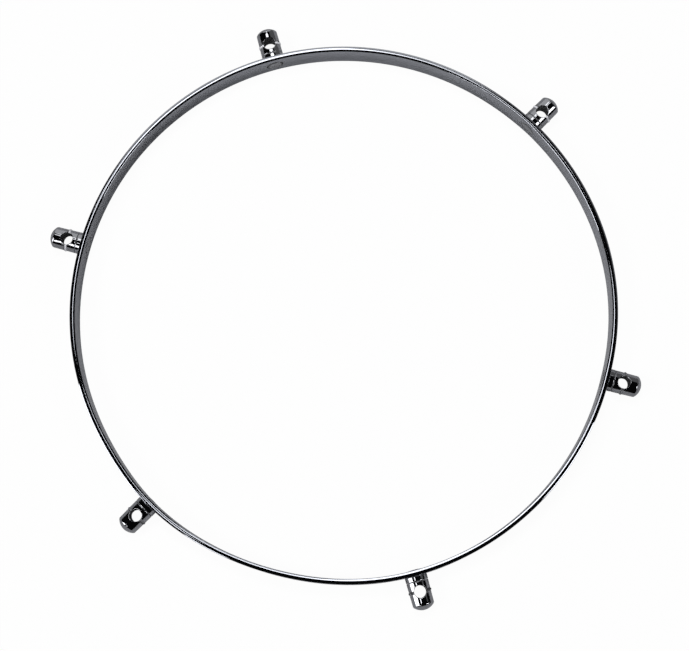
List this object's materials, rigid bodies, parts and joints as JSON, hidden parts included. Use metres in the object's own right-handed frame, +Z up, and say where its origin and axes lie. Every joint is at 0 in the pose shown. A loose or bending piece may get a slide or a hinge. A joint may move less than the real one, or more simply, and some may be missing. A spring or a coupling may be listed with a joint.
{
  "type": "drum hoop",
  "caption": "Chromed flat-bar counter hoop with cross-drilled barrel lugs, which clamps a drum head onto its shell with tension rods.",
  "frame": {"origin": "centre of the hoop, in the plane of its lower edge", "axes": "+Z up along the drum's axis, from the lower edge to the rounded top edge; +X through lug_1, and the lugs are numbered anticlockwise seen from above"},
  "size_m": [0.355, 0.316, 0.018],
  "materials": {
    "band_chrome": "bright chrome plate on a rolled steel bar",
    "lug_chrome": "bright chrome plate on a turned and cross-drilled barrel",
    "collar_chrome": "bright chrome plate on a coped collar"
  },
  "bodies": {
    "root": {"hoop_band": "band_chrome", "lug_1": "lug_chrome", "lug_2": "lug_chrome", "lug_3": "lug_chrome", "lug_4": "lug_chrome", "lug_5": "lug_chrome", "lug_6": "lug_chrome", "lug_collar_1": "collar_chrome", "lug_collar_2": "collar_chrome", "lug_collar_3": "collar_chrome", "lug_collar_4": "collar_chrome", "lug_collar_5": "collar_chrome", "lug_collar_6": "collar_chrome"}
  },
  "joints": []
}
